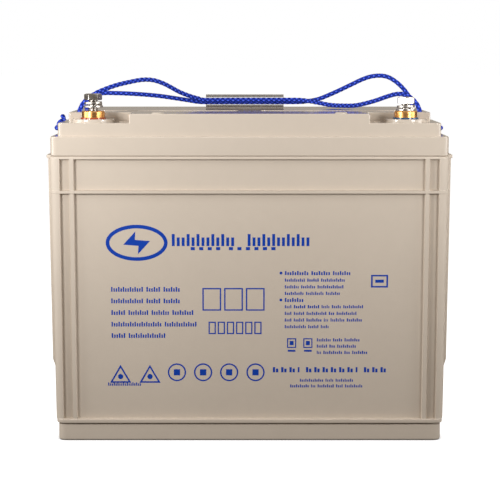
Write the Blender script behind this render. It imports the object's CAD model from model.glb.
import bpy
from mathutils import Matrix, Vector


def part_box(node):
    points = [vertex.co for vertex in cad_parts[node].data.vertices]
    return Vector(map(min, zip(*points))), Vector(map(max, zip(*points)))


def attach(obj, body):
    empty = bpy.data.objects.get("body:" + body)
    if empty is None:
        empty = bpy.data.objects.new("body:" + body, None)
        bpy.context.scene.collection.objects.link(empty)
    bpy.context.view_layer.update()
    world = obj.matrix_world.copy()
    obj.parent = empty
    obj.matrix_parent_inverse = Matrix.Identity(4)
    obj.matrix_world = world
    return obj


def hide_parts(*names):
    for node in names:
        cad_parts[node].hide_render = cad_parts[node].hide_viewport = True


bl_info = {
    "name": "Deep Cycle Battery",
    "version": (1, 0, 0),
    "blender": (4, 5, 0),
    "location": "3D View > Sidebar > Battery",
    "description": "Builds the looks of a sealed deep cycle battery around its CAD frame",
    "category": "Object",
}

from math import cos, floor, pi, radians, sin, sqrt, tau

import bmesh
import bpy
from mathutils import Euler, Matrix, Vector

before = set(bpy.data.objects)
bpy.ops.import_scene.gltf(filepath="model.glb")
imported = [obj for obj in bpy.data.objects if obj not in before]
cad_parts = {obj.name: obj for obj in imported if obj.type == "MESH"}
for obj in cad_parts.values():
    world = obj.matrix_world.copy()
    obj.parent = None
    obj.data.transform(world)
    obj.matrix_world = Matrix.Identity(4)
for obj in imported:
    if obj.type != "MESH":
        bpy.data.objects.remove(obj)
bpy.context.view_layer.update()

MM = 0.001
RIM_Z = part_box("container")[1][2]
LID_TOP_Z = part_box("lid")[1][2] - 1.2 * MM
NEGATIVE_LOW, NEGATIVE_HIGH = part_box("negative_terminal")
TERMINAL_X = (NEGATIVE_LOW[0] + NEGATIVE_HIGH[0]) / 2
TERMINAL_Y = (NEGATIVE_LOW[1] + NEGATIVE_HIGH[1]) / 2
CELLS = 6
CELL_PITCH = 52.4 * MM
CELL_HALF_X, CELL_HALF_Y = 25 * MM, 79.5 * MM
VALVES_X = (-0.116, -0.078, -0.026, 0.026, 0.078, 0.116)

# Middle line of the rope in millimetres: loose end, knot, front strand, loop
# around the right end, back strand and back into the knot
ROPE_ROUTE = (
    (-163.8, 3.4, 268.5), (-162, 2.4, 265.2), (-161.4, -0.5, 261.8), (-163, -5.5, 259.2),
    (-165.3, -13, 258.2), (-165, -21, 258), (-162.2, -27.8, 258), (-157, -30, 258),
    (-151, -30, 259.6), (-146.6, -30, 264), (-145, -30, 271),
    (-142.1, -28.6, 278), (-138.3, -25.8, 282.4), (-131.6, -20.2, 287.3),
    (-124, -14.6, 290.8), (-114.3, -7.6, 294.2), (-104.1, 0.8, 296.6), (-93.7, 7.8, 298.4),
    (-84.9, 14.8, 298), (-76.9, 20.4, 295.4), (-69.9, 26, 291.7), (-61.9, 33, 287),
    (-52.8, 40, 283.2), (-46.2, 44.7, 281.1), (-40.5, 47.5, 279.7), (-15.6, 47.8, 279.7),
    (5.2, 47.8, 279.7), (25.9, 47.8, 279.7), (43.6, 47.5, 279.7), (51.8, 44.2, 279), (62, 37.2, 277.4),
    (72.1, 30.2, 275.7), (82, 20.4, 275.5), (91.9, 12, 275.9), (100.7, 5, 277.9),
    (110, -2, 280.9), (118.2, -9, 284.2), (125.9, -16, 286.6), (132.6, -21.6, 286.4),
    (138.3, -25.8, 282.9), (142.6, -28.6, 277.8),
    (145, -30, 271), (146.6, -30, 264), (151, -30, 259.6), (157, -30, 258),
    (161.6, -27.6, 258), (163.8, -21, 258), (164.6, -7, 257.5), (164.6, 7, 257.5),
    (163.8, 21, 258), (161.6, 27.6, 258), (157, 30, 258),
    (151, 30, 259.6), (146.6, 30, 264), (145, 30, 271),
    (143.6, 30.4, 279), (140.4, 31.6, 285.4), (135.2, 33.2, 291.8), (129.5, 34.8, 296.8),
    (123.3, 36.4, 300.3), (116.6, 38, 301.5), (108.3, 40, 300.7), (100, 42, 297.8), (91.6, 44, 293.7),
    (82.2, 46, 289.1), (73.2, 48, 284.9), (62.1, 50.4, 280.4), (51.8, 51.6, 278.4), (44.1, 52.1, 277.7),
    (25.9, 52.2, 277.6), (5.2, 52.2, 277.6), (-15.6, 52.2, 277.6), (-41, 52.1, 277.6), (-47.7, 51.2, 278.1),
    (-53.8, 50, 279.1), (-65.9, 47.2, 281.1), (-78.8, 44, 283.1), (-91.7, 41.2, 284.5), (-105.5, 38.4, 285.5),
    (-119.1, 35.6, 286.1), (-130.7, 33.2, 286.1), (-138.4, 31.6, 283.9), (-143.1, 30.4, 279),
    (-145, 30, 271), (-146.6, 30, 264), (-151, 30, 259.6), (-157, 30, 258),
    (-162.2, 27.8, 258), (-165, 21, 258), (-165.5, 12, 258.6), (-163.5, 4.5, 259.6),
)


# ---------- sizes and colours that a user would change ----------


def length(name, description, default, low, high):
    return bpy.props.FloatProperty(
        name=name, description=description, default=default, min=low, max=high,
        precision=4, subtype="DISTANCE", unit="LENGTH")


def colour(name, description, default):
    return bpy.props.FloatVectorProperty(
        name=name, description=description, default=default, size=3, min=0, max=1, subtype="COLOR")


class BatteryCaseSizes(bpy.types.PropertyGroup):
    rim_x: length("Half length", "Half the length of the case at its corner posts", 0.1635, 0.16, 0.165)
    rim_y: length("Half width", "Half the width of the case over its ribs", 0.086, 0.085, 0.087)
    draft: length("Draft", "How far each wall leans in towards the base", 0.0016, 0.001, 0.002)
    panel_depth: length("Panel depth", "How far the panels are sunk between the ribs", 0.003, 0.002, 0.0035)
    rib_edge: length("Rib edge", "Width of the rounded step from a panel to a rib", 0.0005, 0.0004, 0.002)
    lid_edge: length("Lid edge", "Rounding of the lid's outer edges", 0.0009, 0.0002, 0.0014)
    cover_edge: length("Cover edge", "Rounding of the vent covers' upper edges", 0.0003, 0.0002, 0.0012)


class BatteryRopeSizes(bpy.types.PropertyGroup):
    core: length("Core radius", "Radius of the rope in the grooves of its braid", 0.00168, 0.0014, 0.0018)
    bulge: length("Bulge", "Height of a yarn over the grooves", 0.0004, 0.0002, 0.0005)
    cell: length("Braid length", "Length of one crossing of the braid", 0.0046, 0.003, 0.006)
    strands: bpy.props.IntProperty(
        name="Strands", description="Yarns that run each way around the rope", default=3, min=2, max=6)
    knot_radius: length("Knot radius", "Radius of the rope's turns in the knot", 0.0031, 0.0026, 0.0033)


class BatteryColours(bpy.types.PropertyGroup):
    case: colour("Case", "Moulded case", (0.60, 0.515, 0.425))
    lid: colour("Lid", "Moulded lid", (0.625, 0.54, 0.45))
    cover: colour("Vent covers", "Glossy vent covers", (0.58, 0.495, 0.41))
    print_ink: colour("Print", "Printed marks on the front", (0.0, 0.045, 0.38))
    rope: colour("Rope", "Rope yarn", (0.005, 0.045, 0.68))
    brass: colour("Brass", "Terminals", (0.86, 0.44, 0.14))
    steel: colour("Steel", "Bolts and washers", (0.50, 0.465, 0.43))
    positive: colour("Positive seal", "Resin ring of the positive terminal", (0.36, 0.06, 0.014))
    negative: colour("Negative seal", "Resin ring of the negative terminal", (0.012, 0.07, 0.16))
    sleeve: colour("Sleeve", "Clear grip sleeve", (0.13, 0.09, 0.055))


# ---------- shapes ----------


def settle(name, bm, material, body, replaced=(), sharp=38):
    """Finished piece from a bmesh: smooth faces with sharp edges, riding a body."""
    bmesh.ops.remove_doubles(bm, verts=bm.verts, dist=1e-7)
    for face in bm.faces:
        face.smooth = True
    for edge in bm.edges:
        edge.smooth = len(edge.link_faces) == 2 and edge.calc_face_angle(0) < radians(sharp)
    mesh = bpy.data.meshes.new(name)
    bm.to_mesh(mesh)
    bm.free()
    piece = bpy.data.objects.new(name, mesh)
    bpy.context.scene.collection.objects.link(piece)
    weigh = piece.modifiers.new("even shading", "WEIGHTED_NORMAL")
    weigh.keep_sharp = True
    weigh.weight = 60
    freeze(piece)
    piece.data.materials.clear()
    piece.data.materials.append(material)
    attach(piece, body)
    if replaced:
        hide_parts(*replaced)
    return piece


def freeze(piece):
    """Applies the modifiers of an object to its mesh."""
    graph = bpy.context.evaluated_depsgraph_get()
    mesh = bpy.data.meshes.new_from_object(
        piece.evaluated_get(graph), preserve_all_data_layers=True, depsgraph=graph)
    piece.modifiers.clear()
    old, piece.data = piece.data, mesh
    bpy.data.meshes.remove(old)


def scratch_object(bm, name):
    """Object from a bmesh, without a material or a body to ride."""
    mesh = bpy.data.meshes.new(name)
    bm.to_mesh(mesh)
    bm.free()
    made = bpy.data.objects.new(name, mesh)
    bpy.context.scene.collection.objects.link(made)
    return made


def carve(bm, *steps):
    """Joins to and cuts from a solid. Each step is an operation and the bmesh of its tool."""
    body = scratch_object(bm, "carved")
    for how, tool_bm in steps:
        tool = scratch_object(tool_bm, "tool")
        cut = body.modifiers.new("cut", "BOOLEAN")
        cut.object, cut.operation, cut.solver = tool, how, "MANIFOLD"
        before = len(body.data.polygons)
        freeze(body)
        bpy.data.objects.remove(tool)
        if len(body.data.polygons) == before:
            raise RuntimeError(f"a {how.lower()} changed nothing")
    result = bmesh.new()
    result.from_mesh(body.data)
    bpy.data.objects.remove(body)
    bmesh.ops.dissolve_degenerate(result, dist=1e-6, edges=result.edges)
    return result


def add_box(bm, low, high):
    """Block between two corners, added to a bmesh."""
    low, high = Vector(low), Vector(high)
    size = high - low
    return bmesh.ops.create_cube(
        bm, size=1, matrix=Matrix.Translation((low + high) / 2) @ Matrix.Diagonal((*size, 1)))["verts"]


def round_edges(bm, edges, by, segments=3):
    return bmesh.ops.bevel(
        bm, geom=list(edges), offset=by, offset_type="OFFSET", affect="EDGES",
        segments=segments, profile=0.5, material=-1, clamp_overlap=True)


def only_verts(made):
    return [v for v in made if isinstance(v, bmesh.types.BMVert)]


def upright(edge):
    a, b = (v.co for v in edge.verts)
    return abs((a - b).normalized().z) > 0.99


def level_edges(bm, z):
    return [e for e in bm.edges if all(abs(v.co.z - z) < 1e-6 for v in e.verts)
            and e.calc_face_angle(0) > 0.5]


def rounded_block(half_x, half_y, low, high, corner, top=0, bottom=0, shift=(0, 0)):
    """Upright block with round corners and softened upper and lower edges."""
    bm = bmesh.new()
    add_box(bm, (shift[0] - half_x, shift[1] - half_y, low), (shift[0] + half_x, shift[1] + half_y, high))
    round_edges(bm, [e for e in bm.edges if upright(e)], corner, 8)
    if top:
        round_edges(bm, level_edges(bm, high), top)
    if bottom:
        round_edges(bm, level_edges(bm, low), bottom)
    return bm


def turned(outline, centre, closed=True, steps=64, into=None):
    """Spins an outline of (radius, height) about an upright axis through centre."""
    bm = into or bmesh.new()
    verts = [bm.verts.new((centre[0] + r, centre[1], z)) for r, z in outline]
    ends = verts[1:] + verts[:1] if closed else verts[1:]
    edges = [bm.edges.new(pair) for pair in zip(verts, ends)]
    bmesh.ops.spin(
        bm, geom=verts + edges, cent=(centre[0], centre[1], 0), axis=(0, 0, 1),
        angle=tau, steps=steps, use_merge=True, use_duplicate=False)
    bmesh.ops.remove_doubles(bm, verts=bm.verts, dist=1e-7)
    bmesh.ops.dissolve_degenerate(bm, dist=1e-7, edges=bm.edges)
    bmesh.ops.recalc_face_normals(bm, faces=bm.faces)
    return bm


def rod(outline, centre, **given):
    """Solid turned from an outline that begins and ends on the axis."""
    return turned(outline, centre, closed=False, **given)


def chamfered(inner, outer, low, high, by):
    """Outline of a ring whose four corners are rounded off."""
    b = by * 0.3
    return [(inner + by, low), (outer - by, low), (outer - b, low + b), (outer, low + by),
            (outer, high - by), (outer - b, high - b), (outer - by, high),
            (inner + by, high), (inner + b, high - b), (inner, high - by),
            (inner, low + by), (inner + b, low + b)]


def ease(value, edge, width):
    """Goes smoothly from 0 to 1 as value passes edge."""
    t = min(max((value - edge) / width + 0.5, 0), 1)
    return t * t * (3 - 2 * t)


def around(edge, width, count=6):
    return [edge + width * (i / (count - 1) - 0.5) for i in range(count)]


def walled(rings):
    """Shell drawn up ring by ring, each a list of points, and closed at both ends."""
    bm = bmesh.new()
    place = bm.verts.layers.int.new("place")
    verts = bmesh.ops.create_circle(bm, segments=len(rings[0]), radius=1)["verts"]
    for i, v in enumerate(verts):
        v[place] = i
        v.co = rings[0][i]
    edges = bm.edges[:]
    bmesh.ops.contextual_create(bm, geom=edges)
    for ring in rings[1:]:
        made = bmesh.ops.extrude_edge_only(bm, edges=edges)["geom"]
        for v in only_verts(made):
            v.co = ring[v[place]]
        edges = [e for e in made if isinstance(e, bmesh.types.BMEdge)
                 and len(e.link_faces) == 1]
    bmesh.ops.contextual_create(bm, geom=edges)
    bmesh.ops.recalc_face_normals(bm, faces=bm.faces)
    return bm


# ---------- materials ----------


def link(tree, source, target):
    tree.links.new(source, target)


def add_node(tree, kind, settings=None, **inputs):
    node = tree.nodes.new(kind)
    for key, value in (settings or {}).items():
        setattr(node, key, value)
    for key, value in inputs.items():
        # "in0" means the first socket, "in1" the second, and so on
        numbered = key.startswith("in") and key[2:].isdigit()
        socket = node.inputs[int(key[2:]) if numbered else key]
        if isinstance(value, bpy.types.NodeSocket):
            link(tree, value, socket)
        else:
            socket.default_value = value
    return node


def math_node(tree, operation, a, b=0.0, c=0.0):
    return add_node(tree, "ShaderNodeMath", {"operation": operation}, in0=a, in1=b, in2=c).outputs[0]


def blend_colours(tree, amount, first, second):
    """Colour that goes from the first to the second as amount goes from 0 to 1."""
    mixer = add_node(tree, "ShaderNodeMix", {"data_type": "RGBA"}, in0=amount, in6=first, in7=second)
    return mixer.outputs[2]


def effect(name, inputs, outputs):
    """New shader node group with named float, colour or vector sockets."""
    tree = bpy.data.node_groups.new(name, "ShaderNodeTree")
    kinds = {"f": "NodeSocketFloat", "c": "NodeSocketColor", "v": "NodeSocketVector"}
    for key, kind, value in inputs:
        socket = tree.interface.new_socket(name=key, in_out="INPUT", socket_type=kinds[kind])
        if value is not None:
            socket.default_value = value
    for key, kind in outputs:
        tree.interface.new_socket(name=key, in_out="OUTPUT", socket_type=kinds[kind])
    enter = tree.nodes.new("NodeGroupInput")
    leave = tree.nodes.new("NodeGroupOutput")
    return tree, enter.outputs, leave.inputs


def mottle_effect():
    """Slow changes of colour and gloss with a fine moulded grain."""
    tree, given, out = effect(
        "moulded_grain",
        [("Place", "v", None), ("Colour", "c", (0.5, 0.5, 0.5, 1)), ("Mottle", "f", 0.06),
         ("Grain Size", "f", 1500.0), ("Roughness", "f", 0.5), ("Roughness Change", "f", 0.1)],
        [("Colour", "c"), ("Roughness", "f"), ("Grain", "f")])
    slow = add_node(tree, "ShaderNodeTexNoise", Vector=given["Place"], Scale=22.0, Detail=4.0, Roughness=0.6)
    fine = add_node(tree, "ShaderNodeTexNoise", Vector=given["Place"], Scale=given["Grain Size"], Detail=2.0)
    smear = add_node(tree, "ShaderNodeTexNoise", Vector=given["Place"], Scale=110.0, Detail=3.0,
                     Distortion=0.6)
    mix = math_node(tree, "ADD", math_node(tree, "MULTIPLY", slow.outputs[0], 0.6),
                    math_node(tree, "MULTIPLY", smear.outputs[0], 0.4))
    change = math_node(tree, "MULTIPLY", math_node(tree, "SUBTRACT", mix, 0.5), given["Mottle"])
    bright = add_node(tree, "ShaderNodeHueSaturation", Color=given["Colour"],
                      Value=math_node(tree, "MULTIPLY_ADD", change, 2.0, 1.0))
    link(tree, bright.outputs[0], out["Colour"])
    rough = math_node(tree, "MULTIPLY", math_node(tree, "SUBTRACT", smear.outputs[0], 0.5),
                      given["Roughness Change"])
    link(tree, math_node(tree, "ADD", rough, given["Roughness"]), out["Roughness"])
    link(tree, fine.outputs[0], out["Grain"])
    return tree


def turning_effect():
    """Fine concentric tool marks about an upright axis, with a light tarnish."""
    tree, given, out = effect(
        "turning_marks",
        [("Place", "v", None), ("Colour", "c", (0.5, 0.5, 0.5, 1)), ("Tarnish", "c", (0.2, 0.1, 0.05, 1)),
         ("Amount", "f", 0.3), ("Rings", "f", 1600.0), ("Roughness", "f", 0.25)],
        [("Colour", "c"), ("Roughness", "f"), ("Marks", "f")])
    rings = add_node(tree, "ShaderNodeTexWave", {"wave_type": "RINGS", "rings_direction": "Z"},
                     Vector=given["Place"], Scale=given["Rings"], Distortion=0.4, Detail=1.0)
    blotch = add_node(tree, "ShaderNodeTexNoise", Vector=given["Place"], Scale=260.0, Detail=5.0,
                      Roughness=0.65)
    spread = add_node(tree, "ShaderNodeMapRange", Value=blotch.outputs[0])
    spread.inputs["From Min"].default_value = 0.42
    spread.inputs["From Max"].default_value = 0.75
    amount = math_node(tree, "MULTIPLY", spread.outputs[0], given["Amount"])
    stained = blend_colours(tree, amount, given["Colour"], given["Tarnish"])
    link(tree, stained, out["Colour"])
    link(tree, math_node(tree, "MULTIPLY_ADD", amount, 0.5, given["Roughness"]), out["Roughness"])
    link(tree, rings.outputs["Fac"], out["Marks"])
    return tree


def braid_effect():
    """Plain braid on a rope whose UV runs around it and along it, counted in crossings."""
    tree, given, out = effect(
        "rope_braid",
        [("Crossings", "v", None), ("Yarn", "c", (0.02, 0.06, 0.45, 1)),
         ("Shade", "c", (0.0003, 0.007, 0.09, 1)), ("Sheen", "c", (0.12, 0.21, 1.0, 1))],
        [("Colour", "c"), ("Relief", "f")])
    split = add_node(tree, "ShaderNodeSeparateXYZ", Vector=given["Crossings"])
    around_it, along_it = split.outputs[0], split.outputs[1]
    one = math_node(tree, "ADD", around_it, along_it)
    two = math_node(tree, "SUBTRACT", around_it, along_it)
    one_cell, two_cell = math_node(tree, "FLOOR", one), math_node(tree, "FLOOR", two)
    one_part = math_node(tree, "SUBTRACT", one, one_cell)
    two_part = math_node(tree, "SUBTRACT", two, two_cell)
    which = math_node(tree, "PINGPONG", math_node(tree, "ADD", one_cell, two_cell), 1.0)
    # The yarn on top changes from one crossing to the next
    across, along = (
        add_node(tree, "ShaderNodeMix", {"data_type": "FLOAT"}, in0=which, in2=a, in3=b).outputs[0]
        for a, b in ((one_part, two_part), (two_part, one_part)))
    hump = math_node(tree, "SINE", math_node(tree, "MULTIPLY", across, pi))
    rise = math_node(tree, "SINE", math_node(tree, "MULTIPLY", along, pi))
    relief = math_node(tree, "MULTIPLY", math_node(tree, "POWER", hump, 0.6),
                       math_node(tree, "MULTIPLY_ADD", rise, 0.55, 0.45))
    fibres = add_node(tree, "ShaderNodeTexNoise", Scale=1.0, Detail=2.0, Roughness=0.7, Vector=add_node(
        tree, "ShaderNodeCombineXYZ", in0=math_node(tree, "MULTIPLY", across, 11.0),
        in1=math_node(tree, "MULTIPLY_ADD", along, 1.4, math_node(tree, "MULTIPLY", one_cell, 3.7)),
        in2=math_node(tree, "MULTIPLY", two_cell, 5.3)).outputs[0]).outputs[0]
    ramp = blend_colours(tree, math_node(tree, "POWER", relief, 1.3), given["Shade"], given["Yarn"])
    glint = add_node(tree, "ShaderNodeMapRange",
                     Value=math_node(tree, "MULTIPLY", math_node(tree, "POWER", relief, 3.0), fibres))
    glint.inputs["From Min"].default_value = 0.18
    glint.inputs["From Max"].default_value = 0.55
    link(tree, blend_colours(tree, glint.outputs[0], ramp, given["Sheen"]), out["Colour"])
    link(tree, math_node(tree, "MULTIPLY_ADD", fibres, 0.5, relief), out["Relief"])
    return tree


EFFECTS = {}


def shared(name, maker):
    """Node group that is built once and used by every material that asks for it."""
    if name not in EFFECTS:
        EFFECTS[name] = maker()
    return EFFECTS[name]


def start_material(name, **shader):
    material = bpy.data.materials.new(name)
    material.use_nodes = True
    tree = material.node_tree
    surface = tree.nodes["Principled BSDF"]
    for key, value in shader.items():
        surface.inputs[key.replace("_", " ")].default_value = value
    return material, tree, surface


def dented(tree, surface, height, strength, distance):
    """Fine relief through a bump node. Distance is its height in metres."""
    bump = add_node(tree, "ShaderNodeBump", Strength=strength, Distance=distance, Height=height)
    link(tree, bump.outputs[0], surface.inputs["Normal"])


def moulded(name, tone, roughness, mottle=0.06, grain_size=1500.0, grain=0.00004, change=0.1, **shader):
    """Moulded plastic, rubber, resin or mat."""
    material, tree, surface = start_material(name, **shader)
    place = add_node(tree, "ShaderNodeTexCoord").outputs["Object"]
    finish = add_node(tree, "ShaderNodeGroup", {"node_tree": shared("grain", mottle_effect)}, **{
        "Place": place, "Colour": (*tone, 1), "Mottle": mottle, "Grain Size": grain_size,
        "Roughness": roughness, "Roughness Change": change})
    link(tree, finish.outputs["Colour"], surface.inputs["Base Color"])
    link(tree, finish.outputs["Roughness"], surface.inputs["Roughness"])
    dented(tree, surface, finish.outputs["Grain"], 1.0, grain)
    return material


def machined(name, tone, centre, roughness, tarnish, amount, marks=0.00001, **shader):
    """Turned or plated metal."""
    material, tree, surface = start_material(name, Metallic=1.0, **shader)
    place = add_node(tree, "ShaderNodeTexCoord").outputs["Object"]
    middle = add_node(tree, "ShaderNodeMapping", Vector=place,
                      Location=(-centre[0], -centre[1], 0)).outputs[0]
    finish = add_node(tree, "ShaderNodeGroup", {"node_tree": shared("turning", turning_effect)}, **{
        "Place": middle, "Colour": (*tone, 1), "Tarnish": (*tarnish, 1), "Amount": amount,
        "Roughness": roughness})
    link(tree, finish.outputs["Colour"], surface.inputs["Base Color"])
    link(tree, finish.outputs["Roughness"], surface.inputs["Roughness"])
    dented(tree, surface, finish.outputs["Marks"], 0.5, marks)
    return material


def rope_material(tone):
    material, tree, surface = start_material(
        "rope_yarn", Roughness=0.5, Sheen_Weight=0.02, Specular_IOR_Level=0.22)
    surface.inputs["Sheen Tint"].default_value = (0.6, 0.7, 1, 1)
    crossings = add_node(tree, "ShaderNodeUVMap", {"uv_map": "crossings"}).outputs[0]
    braid = add_node(tree, "ShaderNodeGroup", {"node_tree": shared("braid", braid_effect)}, **{
        "Crossings": crossings, "Yarn": (*tone, 1)})
    link(tree, braid.outputs["Colour"], surface.inputs["Base Color"])
    dented(tree, surface, braid.outputs["Relief"], 0.8, 0.00025)
    return material


def sleeve_material(tone):
    material, tree, surface = start_material("clear_sleeve", IOR=1.45)
    place = add_node(tree, "ShaderNodeTexCoord").outputs["Object"]
    flow = add_node(tree, "ShaderNodeTexNoise", Vector=add_node(
        tree, "ShaderNodeMapping", Vector=place, Scale=(30, 400, 400)).outputs[0], Scale=1.0, Detail=3.0)
    tint = blend_colours(tree, flow.outputs[0], (*tone, 1), (*[c * 0.8 for c in tone], 1))
    link(tree, tint, surface.inputs["Base Color"])
    rough = add_node(tree, "ShaderNodeMapRange", Value=flow.outputs[0])
    rough.inputs["To Min"].default_value = 0.03
    rough.inputs["To Max"].default_value = 0.1
    link(tree, rough.outputs[0], surface.inputs["Roughness"])
    # The wall looks thicker and darker where it turns away
    slope = add_node(tree, "ShaderNodeLayerWeight", Blend=0.5).outputs["Facing"]
    body = add_node(tree, "ShaderNodeMapRange", {"interpolation_type": "SMOOTHSTEP"}, Value=slope)
    for key, value in (("From Min", 0.1), ("From Max", 0.4), ("To Min", 0.01), ("To Max", 0.5)):
        body.inputs[key].default_value = value
    link(tree, body.outputs[0], surface.inputs["Alpha"])
    dented(tree, surface, flow.outputs[0], 0.6, 0.00005)
    return material


# ---------- rope ----------


def smooth_route(route, spacing):
    """Evenly spaced points on a smooth curve through the points of a route, in metres."""
    points = [Vector(p) * MM for p in route]
    ends = [points[0] * 2 - points[1]] + points + [points[-1] * 2 - points[-2]]
    fine = []
    for a, b, c, d in zip(ends, ends[1:], ends[2:], ends[3:]):
        pieces = max(4, int((c - b).length / spacing * 4))
        for i in range(pieces):
            t = i / pieces
            fine.append(0.5 * ((2 * b) + (c - a) * t + (2 * a - 5 * b + 4 * c - d) * t * t
                               + (3 * b - a - 3 * c + d) * t ** 3))
    fine.append(points[-1])
    total = sum((b - a).length for a, b in zip(fine, fine[1:]))
    count = round(total / spacing)
    step, kept, run = total / count, [fine[0]], 0.0
    for a, b in zip(fine, fine[1:]):
        part = (b - a).length
        while len(kept) < count and run + part >= step * len(kept):
            kept.append(a.lerp(b, (step * len(kept) - run) / part))
        run += part
    kept.append(fine[-1])
    return kept, total


def braided_rope(name, route, sizes, spacing, material, sides=32):
    """Tube along a route, with the relief of a plain braid and rounded ends."""
    line, total = smooth_route(route, spacing)
    ahead = [(line[min(i + 1, len(line) - 1)] - line[max(i - 1, 0)]).normalized() for i in range(len(line))]
    side = ahead[0].cross(Vector((0, 0, 1))).normalized()
    cells = max(1, round(total / sizes.cell))
    rings = []
    taper = 1.6 * MM
    for i, (point, forward) in enumerate(zip(line, ahead)):
        side = (side - forward * side.dot(forward)).normalized()
        over = forward.cross(side)
        run = total * i / (len(line) - 1)
        end = min(run, total - run)
        shrink = sqrt(max(1 - (1 - min(end / taper, 1)) ** 2, 0.03))
        ring = []
        for k in range(sides):
            turn = k / sides
            one = sizes.strands * turn + cells * i / (len(line) - 1)
            two = sizes.strands * turn - cells * i / (len(line) - 1)
            first, second = one - floor(one), two - floor(two)
            if (floor(one) + floor(two)) % 2:
                first, second = second, first
            hump = max(sin(pi * first), 0) ** 0.6 * (0.45 + 0.55 * sin(pi * second))
            reach = (sizes.core + sizes.bulge * hump) * shrink
            ring.append(point + side * cos(tau * turn) * reach + over * sin(tau * turn) * reach)
        rings.append(ring)
    bm = walled(rings)
    place = bm.verts.layers.int["place"]
    crossings = bm.loops.layers.uv.new("crossings")
    # Rings are made in order, so a vertex's index gives its ring
    bm.verts.ensure_lookup_table()
    bm.verts.index_update()
    for face in bm.faces:
        if len(face.verts) != 4:
            for loop in face.loops:
                loop[crossings].uv = (0, 0)
            continue
        wraps = {v[place] for v in face.verts} == {0, sides - 1}
        for loop in face.loops:
            k = loop.vert[place]
            turn = 1.0 if wraps and k == 0 else k / sides
            loop[crossings].uv = (sizes.strands * turn,
                                  cells * (loop.vert.index // sides) / (len(line) - 1))
    for face in bm.faces:
        face.smooth = True
    mesh = bpy.data.meshes.new(name)
    bm.to_mesh(mesh)
    bm.free()
    piece = bpy.data.objects.new(name, mesh)
    bpy.context.scene.collection.objects.link(piece)
    mesh.materials.append(material)
    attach(piece, "battery")
    return piece, line, total


class BATTERY_OT_rope(bpy.types.Operator):
    """Braided rope handle with its knot at the left end"""
    bl_idname = "battery.make_rope"
    bl_label = "Rope Handle"

    def execute(self, context):
        sizes = context.scene.battery_rope
        yarn = rope_material(context.scene.battery_colours.rope)
        knot_low, knot_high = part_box("rope_knot")
        middle = [(a + b) / 2 / MM for a, b in zip(knot_low, knot_high)]
        coil = []
        for i in range(33):
            turn = tau * (i / 12 + 0.2)
            radius = sizes.knot_radius / MM * (1 if 2 < i < 30 else 0.75)
            coil.append((middle[0] + radius * cos(turn), middle[1] - 4.6 + 9.2 * i / 32,
                         middle[2] + radius * sin(turn)))
        knot, _, _ = braided_rope("knot_turns", coil, sizes, 0.45 * MM, yarn)
        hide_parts("rope_knot")
        rope, line, total = braided_rope("braided_rope", ROPE_ROUTE, sizes, 0.47 * MM, yarn)
        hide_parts("handle_rope")
        return {"FINISHED"}


# ---------- stage ----------


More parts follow.
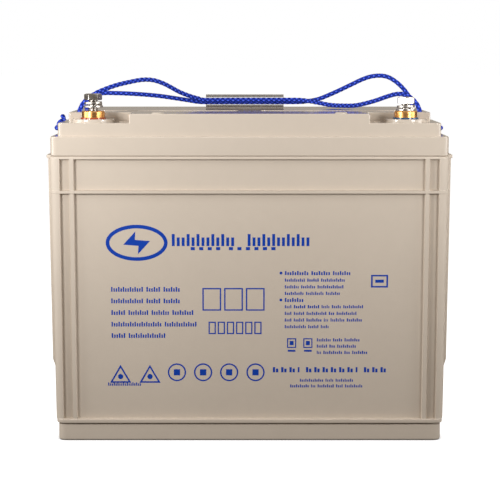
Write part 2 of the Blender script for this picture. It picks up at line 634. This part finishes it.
class BATTERY_OT_stage(bpy.types.Operator):
    """Camera, pale floor and soft studio lights"""
    bl_idname = "battery.make_stage"
    bl_label = "Stage"

    def execute(self, context):
        scene = context.scene
        scene.view_settings.view_transform = "Standard"
        lens = bpy.data.cameras.new("camera")
        lens.lens, lens.sensor_width = 107.7, 36
        lens.clip_start, lens.clip_end = 0.05, 60
        camera = bpy.data.objects.new("camera", lens)
        camera.location = (0.0004, -1.305, 0.3215)
        camera.rotation_euler = Euler((radians(82.5), 0, 0))
        scene.collection.objects.link(camera)
        scene.camera = camera

        bm = bmesh.new()
        bmesh.ops.create_grid(bm, x_segments=2, y_segments=2, size=20)
        floor_piece = scratch_object(bm, "floor")
        paper, tree, surface = start_material("pale_paper", Roughness=0.9)
        place = add_node(tree, "ShaderNodeTexCoord").outputs["Object"]
        fibre = add_node(tree, "ShaderNodeTexNoise", Vector=place, Scale=40.0, Detail=4.0)
        tone = blend_colours(tree, fibre.outputs[0], (0.86, 0.86, 0.86, 1), (0.9, 0.9, 0.9, 1))
        seen = add_node(tree, "ShaderNodeLightPath").outputs["Is Camera Ray"]
        # A white floor to look at, which throws little light up and is dark only at the foot
        near = add_node(tree, "ShaderNodeAmbientOcclusion", {"samples": 8}, Color=tone, Distance=0.007)
        dim = blend_colours(tree, seen, (0.07, 0.055, 0.042, 1), near.outputs["Color"])
        link(tree, dim, surface.inputs["Base Color"])
        link(tree, math_node(tree, "MULTIPLY", seen, 1.05), surface.inputs["Emission Strength"])
        link(tree, near.outputs["Color"], surface.inputs["Emission Color"])
        floor_piece.data.materials.append(paper)

        world = bpy.data.worlds.new("studio")
        world.use_nodes = True
        scene.world = world
        tree = world.node_tree
        sky = tree.nodes["Background"]
        rays = add_node(tree, "ShaderNodeLightPath").outputs
        seen = rays["Is Camera Ray"]
        mirrored = math_node(tree, "MULTIPLY_ADD", rays["Is Glossy Ray"], 0.3, 0.1)
        link(tree, math_node(tree, "MULTIPLY_ADD", seen, 0.9, mirrored), sky.inputs["Strength"])
        warm = blend_colours(tree, seen, (1.0, 0.9, 0.78, 1), (1, 1, 1, 1))
        link(tree, warm, sky.inputs["Color"])

        for name, place, aim, wide, high, power in (
            ("key", (-0.36, -0.4, 0.34), (-0.108, -0.08, 0.4), 0.14, 0.14, 1.8),
            ("fill", (0.36, -0.4, 0.34), (0.108, -0.08, 0.4), 0.14, 0.14, 1.15),
            ("top", (0.0, -0.45, 0.8), (0.0, -0.06, 0.25), 0.3, 0.3, 0.8),
            ("left_box", (-1.3, -0.35, 0.42), (0.0, -0.05, 0.25), 0.6, 0.8, 7.0),
            ("right_box", (1.3, -0.35, 0.42), (0.0, -0.05, 0.25), 0.6, 0.8, 6.3),
            ("back", (0.2, 1.1, 1.3), (0.0, 0.0, 0.26), 0.9, 0.9, 1.8),
        ):
            light = bpy.data.lights.new(name, "AREA")
            light.shape, light.size, light.size_y, light.energy = "RECTANGLE", wide, high, power
            lamp = bpy.data.objects.new(name, light)
            lamp.location = place
            lamp.rotation_euler = (Vector(aim) - Vector(place)).to_track_quat("-Z", "Y").to_euler()
            scene.collection.objects.link(lamp)
        return {"FINISHED"}


# ---------- case ----------


def case_rings(sizes):
    """Rings of the case wall in millimetres, from the base up."""
    rim_x, rim_y = sizes.rim_x / MM, sizes.rim_y / MM
    draft, depth, soft = sizes.draft / MM, sizes.panel_depth / MM, sizes.rib_edge / MM
    plinth_x, plinth_y, edge = 160, 83.8, 1.6
    bands = ((18.5, 207.3), (209.9, 235.4))
    levels = []
    for t in (0, 0.15, 0.35, 0.55, 0.78, 1):
        inset = edge * (1 - sin(t * pi / 2))
        levels.append((edge * (1 - cos(t * pi / 2)), plinth_x - inset, plinth_y - inset, 6 - inset * 0.66))
    for z, inset in ((9, 0), (13.1, 0), (13.5, 0.12), (13.75, 0.5), (13.8, 1.5), (15, 1.5)):
        levels.append((z, plinth_x - inset, plinth_y - inset, 6 - inset * 0.5))
    for z, inset in ((15.02, 0.6), (15.12, 0.25), (15.5, 0), (17.4, 0)):
        levels.append((z, rim_x - 2.2 - inset, rim_y - 0.7 - inset, 6))
    heights = [18.0] + around(18.5, soft) + [19.4, 20.2, 30, 42, 45, 48, 52, 56, 60, 64, 65.5, 66.5, 68]
    heights += [80, 100, 120, 140, 160, 180, 200]
    heights += around(207.3, soft) + around(209.9, soft) + [219, 228] + around(235.4, soft)
    for z in heights:
        lean = draft * (235 - z) / 216
        flat = ease(z, 207.3, soft) * (1 - ease(z, 209.9, soft)) if z < 220 else 0
        lean *= 1 - flat
        start = 1 - ease(z, 18.3, 0.9)
        levels.append((z, rim_x - lean + start * (lean - 2.2), rim_y - lean + start * (lean - 0.7), 6))
    for z, inset in ((236.8, 0), (237.3, 0.15), (237.8, 0.6), (238, 1.5)):
        levels.append((z, rim_x - inset, rim_y - inset, 6))

    long_edges = (143.7, 147.5, 155.1)
    xs = sorted({s * x for s in (-1, 1) for e in long_edges for x in around(e, soft)}
                | {s * x for s in (-1, 1) for x in (0, 30, 60, 90, 120, 135)})
    ribs = [(i - 4) * 16.5 for i in range(9)]
    ys = sorted({y + s * o for y in ribs for s in (-1, 1) for o in around(1.6, 0.9, 5)}
                | {s * y for s in (-1, 1) for y in around(71, soft)}
                | {s * y for s in (-1, 1) for y in (68.9, 69.15, 76)} | {y + 8.25 for y in ribs[:-1]})

    def wall(z, half_x, half_y, corner):
        sunk = depth * max(ease(z, low, soft) * (1 - ease(z, high, soft)) for low, high in bands)
        lip = ease(z, 235.4, soft)
        squeeze = min((half_x - corner - 140) / 15.6, 1)

        def long_wall(x):
            u = abs(x)
            proud = ease(u, 143.7, soft) * (1 - ease(u, 147.5, soft)) + ease(u, 155.1, soft)
            place = x if u < 140 else (140 + (u - 140) * squeeze) * (1 if x > 0 else -1)
            return place, half_y - sunk * (1 - proud)

        def end_wall(y):
            u = abs(y)
            out = half_x - sunk * (1 - ease(u, 71, soft))
            if z > 42:
                tip = 157.5 + 8.1 * (z - 42) / 24 if z < 66 else 165.6 + 1.2 * (z - 66) / 170
                rib = max(ease(u, abs(c) - 1.6, 0.9) * (1 - ease(u, abs(c) + 1.6, 0.9)) if c else
                          1 - ease(u, 1.6, 0.9) for c in ribs)
                out += max(tip - out, 0) * rib
            if lip:
                out += (168 - out - 0.1) * lip * (1 - ease(u, 69, 0.5))
            return out

        ring = [(x, -y) for x, y in map(long_wall, xs)]
        ring += arc(half_x - corner, corner - half_y, corner, -90)
        ring += [(end_wall(y), y) for y in ys]
        ring += arc(half_x - corner, half_y - corner, corner, 0)
        ring += [(x, y) for x, y in map(long_wall, reversed(xs))]
        ring += arc(corner - half_x, half_y - corner, corner, 90)
        ring += [(-end_wall(y), y) for y in reversed(ys)]
        ring += arc(corner - half_x, corner - half_y, corner, 180)
        return [Vector((x, y, z)) * MM for x, y in ring]

    def arc(x, y, r, begin):
        return [(x + r * cos(radians(begin + a)), y + r * sin(radians(begin + a))) for a in range(0, 91, 15)]

    return [wall(*level) for level in levels]


def cell_middle(c):
    """Where a cell's middle lies along the case, counted from 1."""
    return (c - (CELLS + 1) / 2) * CELL_PITCH


class BATTERY_OT_container(bpy.types.Operator):
    """Ribbed case with six cells"""
    bl_idname = "battery.make_container"
    bl_label = "Container"

    def execute(self, context):
        shell = walled(case_rings(context.scene.battery_case))
        cells = bmesh.new()
        for c in range(1, CELLS + 1):
            x = cell_middle(c)
            add_box(cells, (x - CELL_HALF_X, -CELL_HALF_Y, 0.006),
                    (x + CELL_HALF_X, CELL_HALF_Y, RIM_Z + 0.01))
        holes = bmesh.new()
        for c in range(1, CELLS):
            side = -1 if c % 2 == 1 else 1
            place = Matrix.Translation((cell_middle(c) + CELL_PITCH / 2, -side * 0.0655, 0.227))
            bmesh.ops.create_cone(
                holes, cap_ends=True, segments=32, radius1=0.007, radius2=0.007, depth=0.0044,
                matrix=place @ Matrix.Rotation(radians(90), 4, "Y"))
        shell = carve(shell, ("DIFFERENCE", cells), ("DIFFERENCE", holes))
        settle("ribbed_case", shell, case_plastic(context), "battery", ["container"])
        return {"FINISHED"}


def case_plastic(context):
    found = bpy.data.materials.get("case_plastic_moulded")
    return found or moulded("case_plastic_moulded", context.scene.battery_colours.case, 0.5,
                            mottle=0.05, grain=0.00003, change=0.12)


def lid_plastic(context):
    found = bpy.data.materials.get("lid_plastic_moulded")
    return found or moulded("lid_plastic_moulded", context.scene.battery_colours.lid, 0.09,
                            mottle=0.05, grain=0.0000008, change=0.06)


# ---------- lid ----------


def raised_top(sizes):
    """Upper step of the lid, notched at both front corners."""
    bm = bmesh.new()
    outline = ((-98.5, -83.5), (98.5, -83.5), (98.5, -50), (151.3, -50),
               (151.3, 83.5), (-151.3, 83.5), (-151.3, -50), (-98.5, -50))
    face = bm.faces.new([bm.verts.new((x * MM, y * MM, 0.264)) for x, y in outline])
    top = bmesh.ops.extrude_face_region(bm, geom=[face])["geom"]
    bmesh.ops.translate(bm, verts=only_verts(top), vec=(0, 0, LID_TOP_Z - 0.264))
    bmesh.ops.recalc_face_normals(bm, faces=bm.faces)
    back = [e for e in bm.edges if upright(e) and e.verts[0].co.y > 0]
    front = [e for e in bm.edges if upright(e) and e.verts[0].co.y < 0]
    round_edges(bm, back, 3 * MM, 6)
    round_edges(bm, [e for e in front if e.is_valid], 1.6 * MM, 4)
    round_edges(bm, level_edges(bm, LID_TOP_Z), sizes.lid_edge)
    return bm


def rope_channels():
    """Bent round tools, one for each rope hole."""
    bm = bmesh.new()
    for sx in (-1, 1):
        for sy in (-1, 1):
            made = bmesh.ops.create_circle(
                bm, segments=24, radius=2.6 * MM, cap_ends=True,
                matrix=Matrix.Translation((sx * 0.145, sy * 0.03, 0.276)))["verts"]
            start = made[0].link_faces[0] if made[0].link_faces else None
            grown = bmesh.ops.extrude_face_region(bm, geom=[start], use_keep_orig=True)["geom"]
            bmesh.ops.translate(bm, vec=(0, 0, -0.006), verts=only_verts(grown))
            end = next(f for f in grown if isinstance(f, bmesh.types.BMFace))
            bent = bmesh.ops.spin(
                bm, geom=[end], cent=(sx * 0.157, sy * 0.03, 0.27), axis=(0, 1, 0), angle=-sx * pi / 2,
                steps=10, use_duplicate=False)["geom_last"]
            last = next(f for f in bent if isinstance(f, bmesh.types.BMFace))
            out = bmesh.ops.extrude_face_region(bm, geom=[last])["geom"]
            bmesh.ops.translate(bm, vec=(sx * 0.01, 0, 0), verts=only_verts(out))
    inner = [f for f in bm.faces if len(f.verts) > 4 and all(len(e.link_faces) > 2 for e in f.edges)]
    bmesh.ops.delete(bm, geom=inner, context="FACES_ONLY")
    bmesh.ops.recalc_face_normals(bm, faces=bm.faces)
    return bm


class BATTERY_OT_lid(bpy.types.Operator):
    """Stepped lid with terminal recesses, valve wells and rope holes"""
    bl_idname = "battery.make_lid"
    bl_label = "Lid"

    def execute(self, context):
        sizes = context.scene.battery_case
        skirt = rounded_block(0.163, 0.086, RIM_Z, 0.254, 6 * MM, top=sizes.lid_edge, bottom=1.1 * MM)
        ledge = rounded_block(0.1567, 0.0835, 0.2525, 0.265, 4 * MM, top=sizes.lid_edge)
        bosses = bmesh.new()
        bars, crossbar = bmesh.new(), bmesh.new()
        towers, bores, wells = bmesh.new(), bmesh.new(), bmesh.new()
        for side in (-1, 1):
            at = (side * TERMINAL_X, TERMINAL_Y)
            rod([(0, 0.264), (0.0175, 0.264), (0.0175, 0.2673), (0.01735, 0.26765),
                 (0.017, 0.2678), (0, 0.2678)], at, into=bosses)
            rod([(0, 0.272), (0.0054, 0.272), (0.0053, 0.2726), (0.0045, 0.2734),
                 (0.004, 0.2737), (0, 0.2737)], (side * 0.075, -0.078), steps=40, into=bosses)
            x = side * 0.1055
            add_box(bars, (x - 0.0025, -0.0662, 0.2645), (x + 0.0025, -0.0648, 0.2655))
            if side < 0:
                add_box(crossbar, (x - 0.0007, -0.068, 0.2645), (x + 0.0007, -0.063, 0.2655))
            rod([(0, 0.2505), (0.014, 0.2505), (0.014, 0.2645), (0, 0.2645)], at, into=towers)
            rod([(0, 0.245), (0.00805, 0.245), (0.00805, 0.254), (0.01205, 0.254), (0.01205, 0.25705),
                 (0.00955, 0.25705), (0.00955, 0.263), (0.01065, 0.263), (0.01065, 0.29), (0, 0.29)],
                at, into=bores)
        low, high = bmesh.new(), bmesh.new()
        for c in range(1, CELLS + 1):
            x = cell_middle(c)
            add_box(low, (x - CELL_HALF_X, -CELL_HALF_Y, 0.237), (x + CELL_HALF_X, CELL_HALF_Y, 0.252))
            add_box(high, (max(x - CELL_HALF_X, -0.136), -CELL_HALF_Y, 0.2515),
                    (min(x + CELL_HALF_X, 0.136), CELL_HALF_Y, 0.262))
        pockets = rounded_block(0.0594, 0.02015, 0.2685, 0.28, 5.1 * MM, shift=(-0.06875, 0))
        other = rounded_block(0.0594, 0.02015, 0.2685, 0.28, 5.1 * MM, shift=(0.06875, 0))
        for x in VALVES_X:
            rod([(0, 0.256), (0.01, 0.256), (0.01, 0.2683), (0, 0.2683)], (x, 0), steps=40, into=towers)
            rod([(0, 0.28), (0.008, 0.28), (0.008, 0.259), (0.004, 0.259), (0.004, 0.266),
                 (0.002, 0.266), (0.002, 0.25), (0, 0.25)], (x, 0), steps=40, into=wells)
        lid = carve(skirt, ("UNION", ledge), ("UNION", raised_top(sizes)), ("UNION", bosses),
                    ("UNION", bars), ("UNION", crossbar), ("DIFFERENCE", low), ("DIFFERENCE", high),
                    ("UNION", towers), ("DIFFERENCE", bores), ("DIFFERENCE", pockets),
                    ("DIFFERENCE", other), ("DIFFERENCE", wells), ("DIFFERENCE", rope_channels()))
        settle("stepped_lid", lid, lid_plastic(context), "battery", ["lid"], sharp=32)
        return {"FINISHED"}


class BATTERY_OT_covers(bpy.types.Operator):
    """Two glossy strips that close the valve wells"""
    bl_idname = "battery.make_vent_covers"
    bl_label = "Vent Covers"

    def execute(self, context):
        edge = context.scene.battery_case.cover_edge
        gloss = moulded("cover_plastic_polished", context.scene.battery_colours.cover, 0.07,
                        mottle=0.04, grain_size=90.0, grain=0.000004, change=0.04, Coat_Weight=0.3)
        for name in ("left_vent_cover", "right_vent_cover"):
            low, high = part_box(name)
            cover = rounded_block((high[0] - low[0]) / 2, (high[1] - low[1]) / 2, low[2], high[2],
                                  5 * MM, top=edge, shift=((low[0] + high[0]) / 2, (low[1] + high[1]) / 2))
            settle(name + "_strip", cover, gloss, "battery", [name])
        return {"FINISHED"}


# ---------- terminals ----------


class BATTERY_OT_terminals(bpy.types.Operator):
    """Brass terminals with their coloured sealing rings"""
    bl_idname = "battery.make_terminals"
    bl_label = "Terminals"

    def execute(self, context):
        colours = context.scene.battery_colours
        for side, name in ((-1, "positive"), (1, "negative")):
            at = (side * TERMINAL_X, TERMINAL_Y)
            top = NEGATIVE_HIGH[2]
            brass = machined(name + "_brass", colours.brass, at, 0.24, (0.30, 0.14, 0.05), 0.35)
            bush = rod([(0, 0.248), (0.0075, 0.248), (0.008, 0.2485), (0.008, 0.254), (0.0116, 0.254),
                        (0.012, 0.2544), (0.012, 0.2566), (0.0116, 0.257), (0.0095, 0.257),
                        (0.0095, top - 0.0007), (0.00935, top - 0.00025), (0.009, top), (0.0046, top),
                        (0.00402, top - 0.0006), (0.00402, top - 0.02), (0, top - 0.0205)], at, steps=96)
            settle(name + "_bush", bush, brass, "battery", [name + "_terminal"])
            resin = moulded(name + "_resin", getattr(colours, name), 0.14, mottle=0.1, grain_size=500.0,
                            grain=0.00002, change=0.1, Coat_Weight=0.5)
            ring = turned(chamfered(0.00955, 0.0106, 0.263, 0.269, 0.00045), at, steps=96)
            settle(name + "_resin_ring", ring, resin, "battery", [name + "_seal_ring"])
        return {"FINISHED"}


def threaded_shank(at, low, high, minor, major, pitch):
    """Helical thread, cut square at both ends."""
    turns = int((high - low) / pitch) + 4
    bm = bmesh.new()
    start = low - 2 * pitch
    outline = ((minor, 0), (minor, 0.12), (major, 0.44), (major, 0.56), (minor, 0.88), (minor, 1))
    verts = [bm.verts.new((at[0] + r, at[1], start + p * pitch)) for r, p in outline]
    edges = [bm.edges.new(pair) for pair in zip(verts, verts[1:])]
    steps = 28
    bmesh.ops.spin(bm, geom=verts + edges, cent=(at[0], at[1], 0), axis=(0, 0, 1), angle=tau * turns,
                   dvec=(0, 0, pitch / steps), steps=steps * turns, use_duplicate=False)
    bmesh.ops.remove_doubles(bm, verts=bm.verts, dist=2e-6)
    for height, up in ((low, -1), (high, 1)):
        bmesh.ops.bisect_plane(bm, geom=bm.verts[:] + bm.edges[:] + bm.faces[:], plane_co=(0, 0, height),
                               plane_no=(0, 0, up), clear_outer=True)
        open_edges = [e for e in bm.edges if len(e.link_faces) == 1
                      and all(abs(v.co.z - height) < 1e-6 for v in e.verts)]
        bmesh.ops.contextual_create(bm, geom=open_edges)
    bmesh.ops.recalc_face_normals(bm, faces=bm.faces)
    return bm


# Hexagon of the M8 bolts
HEAD_ACROSS = 13 * MM
HEAD_HIGH = 5.3 * MM


class BATTERY_OT_bolts(bpy.types.Operator):
    """Hexagon bolts with their split spring washers and flat washers"""
    bl_idname = "battery.make_bolts"
    bl_label = "Bolts and Washers"

    def execute(self, context):
        steel_tone = context.scene.battery_colours.steel
        for side, name, turn in ((-1, "positive", 5), (1, "negative", 30)):
            at = (side * TERMINAL_X, TERMINAL_Y)
            head_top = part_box(name + "_bolt")[1][2]
            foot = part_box(name + "_bolt")[0][2]
            head_z = head_top - HEAD_HIGH
            steel = machined(name + "_bolt_plating", steel_tone, at, 0.2, (0.32, 0.31, 0.29), 0.5)
            head = bmesh.new()
            over_corners = HEAD_ACROSS / 2 / cos(radians(30))
            # A cone's first corner lies on Y, which is 30 degrees from where the frame has it
            facing = Matrix.Rotation(radians(turn + 30), 4, "Z")
            bmesh.ops.create_cone(
                head, cap_ends=True, segments=6, radius1=over_corners, radius2=over_corners,
                depth=HEAD_HIGH, matrix=Matrix.Translation((*at, head_z + HEAD_HIGH / 2)) @ facing)
            round_edges(head, [e for e in head.edges if upright(e)], 0.00025, 2)
            shape = rod([(0, head_z - 0.0001), (0.0068, head_z - 0.0001), (0.0074, head_z + 0.0004),
                         (0.0078, head_z + 0.0006), (0.0078, head_top - 0.0011), (0.0068, head_top - 0.0004),
                         (0.0062, head_top - 0.00012), (0.0058, head_top), (0, head_top)], at, steps=96)
            shank = threaded_shank(at, foot, head_z + 0.0006, 0.00335, 0.00393, 0.00125)
            bolt = carve(head, ("INTERSECT", shape), ("UNION", shank))
            settle(name + "_hex_bolt", bolt, steel, name + "_bolt", [name + "_bolt"], sharp=25)

            washer_steel = machined(name + "_washer_plating", steel_tone, at, 0.27, (0.34, 0.32, 0.28), 0.6)
            low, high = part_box(name + "_flat_washer")
            flat = turned(chamfered(0.0042, 0.008, low[2], high[2], 0.00022), at, steps=96)
            settle(name + "_flat_disc", flat, washer_steel, name + "_washers",
                   [name + "_flat_washer"])

            spring = bmesh.new()
            base = high[2]
            section = chamfered(0.0043, 0.0074, base, base + 0.002, 0.0003)
            begin = radians(7)
            wire = [spring.verts.new((at[0] + r * cos(begin), at[1] + r * sin(begin), z)) for r, z in section]
            first = spring.faces.new(wire)
            bmesh.ops.spin(
                spring, geom=[first], cent=(*at, 0), axis=(0, 0, 1), angle=tau - 2 * begin,
                dvec=(0, 0, 0.0014 / 60), steps=60, use_duplicate=False)
            bmesh.ops.recalc_face_normals(spring, faces=spring.faces)
            settle(name + "_split_washer", spring, washer_steel, name + "_washers",
                   [name + "_spring_washer"])
        return {"FINISHED"}


# ---------- grip sleeve ----------


class BATTERY_OT_sleeve(bpy.types.Operator):
    """Clear grip sleeve around both strands of the rope"""
    bl_idname = "battery.make_sleeve"
    bl_label = "Grip Sleeve"

    def execute(self, context):
        low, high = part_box("grip_sleeve")
        middle = [(a + b) / 2 for a, b in zip(low, high)]
        outer = (high[2] - low[2]) / 2
        half = (high[0] - low[0]) / 2
        tube = turned(chamfered(outer - 0.95 * MM, outer, -half, half, 0.3 * MM), (0, 0), steps=96)
        bmesh.ops.transform(
            tube, verts=tube.verts, matrix=Matrix.Translation(middle) @ Matrix.Rotation(radians(90), 4, "Y"))
        clear = sleeve_material(context.scene.battery_colours.sleeve)
        sleeve = settle("grip_tube", tube, clear, "grip", ["grip_sleeve"])
        sleeve.visible_shadow = False
        return {"FINISHED"}


# ---------- print ----------

# In millimetres, like the marks. They reach a little into the wall
MARK_THICKNESS = 0.12
MARK_PROUD = 0.05


def print_bar(bm, x, z, wide, high):
    return bmesh.ops.create_grid(
        bm, x_segments=1, y_segments=1, size=0.5,
        matrix=Matrix.Translation((x + wide / 2, 0, z - high / 2)) @ Matrix.Rotation(radians(90), 4, "X")
        @ Matrix.Diagonal((wide, high, 1, 1)))["verts"]


def print_disc(bm, x, z, radius, segments=40, turn=0.0, stretch=1.0):
    return bmesh.ops.create_circle(
        bm, cap_ends=True, segments=segments, radius=radius,
        matrix=Matrix.Translation((x, 0, z)) @ Matrix.Rotation(radians(90), 4, "X")
        @ Matrix.Diagonal((stretch, 1, 1, 1)) @ Matrix.Rotation(radians(turn), 4, "Z"))["verts"]


def hollow_out(bm, verts, thickness):
    """Leaves only the outline of the shape that was just made."""
    face = verts[0].link_faces[0]
    bmesh.ops.inset_region(
        bm, faces=[face], thickness=thickness, use_boundary=True, use_even_offset=True)
    bmesh.ops.delete(bm, geom=[face], context="FACES_ONLY")


def stroke_row(bm, x, z, high, words, stroke=1.15, gap=0.8):
    """Row of words made of short upright strokes. Each word is its length."""
    for word in words:
        if word > 0:
            count = max(1, round(word / (stroke + gap)))
            step = word / count
            for i in range(count):
                part = (1, 0.72, 0.72, 1, 0.72)[i % 5]
                print_bar(bm, x + i * step, z - high * (1 - part), step - gap, high * part)
        x += abs(word) + high * 0.55


def front_marks():
    """Flat shapes of the front print, in millimetres, on the plane of the front."""
    bm = bmesh.new()
    # Emblem: a round-ended frame with a zigzag flash
    outline = print_disc(bm, -93, 166.5, 15, 64, stretch=1.7)
    hollow_out(bm, outline, 3)
    flash = ((-104, 165), (-94, 176), (-94.5, 169), (-82, 168), (-92, 157), (-91.5, 164))
    bm.faces.new([bm.verts.new((x, 0, z)) for x, z in flash])
    stroke_row(bm, -64, 173.8, 10, (53,), 2.3, 1.7)
    stroke_row(bm, -1.5, 173.8, 10, (52.5,), 2.3, 1.7)
    for i in range(10):
        print_bar(bm, -48.5 + i * 7 + (3.5 if i > 3 else 0), 163, 3.4, 2.6)
    for z, words in ((128.5, (27, 12, 14)), (118.8, (27, 12, 14)), (109, (12, 17, 15, 18)),
                     (99.2, (42, 27)), (89.6, (12, 31))):
        stroke_row(bm, -114.5, z + 1.2, 4, words)
    for i in range(3):
        hollow_out(bm, print_bar(bm, -39 + i * 18, 128.8, 15.5, 19), 1.1)
    for i in range(6):
        hollow_out(bm, print_bar(bm, -34 + i * 7.6, 100.5, 6, 10.5), 1)
    print_disc(bm, 26, 141.3, 1.2, 16)
    print_disc(bm, 26, 118.8, 1.2, 16)
    stroke_row(bm, 29.3, 143, 3.4, (20, 16, 15))
    stroke_row(bm, 29.3, 120.5, 3.4, (16,))
    for z, words in ((136.8, (17, 10, 20)), (131.2, (12, 12, 22)), (125.7, (16, 15, 12)),
                     (114.5, (6, 10, 10, 7, 8, 17)), (108.9, (6, 9, 17, 5, 17)),
                     (103.3, (6, 9, 13, 4, 12, 13)), (97.7, (18, 9, 7)),
                     (86.5, (12, 8, 13)), (81.2, (9, 5, 16)), (75.9, (4, 16, 5, 13))):
        x = 56 if z < 90 else 29.3
        stroke_row(bm, x, z, 2.7, words, 0.9, 0.65)
    hollow_out(bm, print_bar(bm, 100.5, 139.8, 14, 10.6), 1.3)
    print_bar(bm, 104, 135.8, 7, 2.6)
    for x, z in ((35, 81), (48.5, 81)):
        hollow_out(bm, print_bar(bm, x - 3.8, z + 5.5, 7.6, 8.2), 0.9)
        print_bar(bm, x - 1.6, z + 3.2, 3.2, 3.6)
        print_bar(bm, x - 3.2, z - 4.3, 6.4, 1.6)
    for x in (-107.5, -83):
        hollow_out(bm, print_disc(bm, x, 53.8, 10.2, 3), 1.3)
        print_disc(bm, x, 54, 2.2, 24)
    for x in (-60.5, -38.7, -17, 5):
        hollow_out(bm, print_disc(bm, x, 57.6, 7.6, 48), 1.2)
        print_bar(bm, x - 2.6, 60.2, 5.2, 5.2)
    for i, word in enumerate((6, 6, 6, 3, 6, 6, 6, 6, 6, 6, 3, 6, 6, 6)):
        stroke_row(bm, 19.5 + i * 6.9, 62, 4.4, (word - 0.9,), 1.5, 0.7)
    stroke_row(bm, 42, 52.2, 2.6, (20, 7, 15), 0.9, 0.65)
    stroke_row(bm, 34, 47.3, 2.6, (16, 4, 14, 6, 15), 0.9, 0.65)
    stroke_row(bm, -118, 49, 2.8, (28,), 0.9, 0.65)
    return bm


class BATTERY_OT_print(bpy.types.Operator):
    """Plain printed shapes on the front panel"""
    bl_idname = "battery.make_print"
    bl_label = "Front Print"

    def execute(self, context):
        sizes = context.scene.battery_case
        bm = front_marks()
        grown = bmesh.ops.extrude_face_region(bm, geom=bm.faces[:], use_keep_orig=True)["geom"]
        for v in only_verts(grown):
            v.co.y = MARK_THICKNESS
        for v in bm.verts:
            height = v.co.z
            wall = sizes.rim_y / MM - sizes.panel_depth / MM - sizes.draft / MM * (235 - height) / 216
            v.co = Vector((v.co.x, -wall - MARK_PROUD + v.co.y, height)) * MM
        bmesh.ops.recalc_face_normals(bm, faces=bm.faces)
        ink = moulded("print_ink", context.scene.battery_colours.print_ink, 0.38, mottle=0.12,
                      grain_size=900.0, grain=0.00002, change=0.1)
        settle("front_print", bm, ink, "battery", ())
        return {"FINISHED"}


# ---------- inner parts ----------


class BATTERY_OT_inner(bpy.types.Operator):
    """Finishes for the plates, mats, links, posts and valve caps inside"""
    bl_idname = "battery.finish_inner_parts"
    bl_label = "Inner Parts"

    def execute(self, context):
        lead = machined("cast_lead", (0.24, 0.25, 0.28), (0, 0), 0.52, (0.10, 0.10, 0.11), 0.6, marks=0.00004)
        paste = moulded("positive_paste", (0.10, 0.045, 0.03), 0.85,
                        mottle=0.3, grain_size=700.0, grain=0.0002)
        mat = moulded("glass_mat_fibre", (0.80, 0.80, 0.76), 0.95,
                      mottle=0.08, grain_size=2200.0, grain=0.0002)
        rubber = moulded("valve_rubber_black", (0.02, 0.02, 0.021), 0.6, mottle=0.15, grain=0.00006)
        for name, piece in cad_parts.items():
            if piece.hide_render:
                continue
            for word, finish in (("positive_plates", paste), ("negative_plates", lead), ("cell_link", lead),
                                 ("post", lead), ("glass_mats", mat), ("valve_cap", rubber)):
                if word in name:
                    for place in piece.material_slots:
                        place.material = finish
        return {"FINISHED"}


# ---------- add-on ----------


class BATTERY_PT_parts(bpy.types.Panel):
    """Lists the parts of the battery and their sizes"""
    bl_idname = "BATTERY_PT_parts"
    bl_label = "Battery"
    bl_space_type = "VIEW_3D"
    bl_region_type = "UI"
    bl_category = "Battery"

    def draw(self, context):
        for group in (context.scene.battery_case, context.scene.battery_rope, context.scene.battery_colours):
            box = self.layout.box()
            for key in group.bl_rna.properties.keys():
                if key not in {"rna_type", "name"}:
                    box.prop(group, key)
        for operator in OPERATORS:
            self.layout.operator(operator.bl_idname)


GROUPS = (BatteryCaseSizes, BatteryRopeSizes, BatteryColours)
OPERATORS = (BATTERY_OT_stage, BATTERY_OT_rope, BATTERY_OT_container, BATTERY_OT_lid, BATTERY_OT_covers,
             BATTERY_OT_terminals, BATTERY_OT_bolts, BATTERY_OT_sleeve, BATTERY_OT_print, BATTERY_OT_inner)


def register():
    for cls in (*GROUPS, *OPERATORS, BATTERY_PT_parts):
        bpy.utils.register_class(cls)
    bpy.types.Scene.battery_case = bpy.props.PointerProperty(type=BatteryCaseSizes)
    bpy.types.Scene.battery_rope = bpy.props.PointerProperty(type=BatteryRopeSizes)
    bpy.types.Scene.battery_colours = bpy.props.PointerProperty(type=BatteryColours)


def unregister():
    del bpy.types.Scene.battery_colours
    del bpy.types.Scene.battery_rope
    del bpy.types.Scene.battery_case
    for cls in reversed((*GROUPS, *OPERATORS, BATTERY_PT_parts)):
        bpy.utils.unregister_class(cls)


def main():
    register()
    bpy.ops.battery.make_stage()
    bpy.ops.battery.make_rope()
    bpy.ops.battery.make_container()
    bpy.ops.battery.make_lid()
    bpy.ops.battery.make_vent_covers()
    bpy.ops.battery.make_terminals()
    bpy.ops.battery.make_bolts()
    bpy.ops.battery.make_sleeve()
    bpy.ops.battery.make_print()
    bpy.ops.battery.finish_inner_parts()


if __name__ == "__main__":
    main()
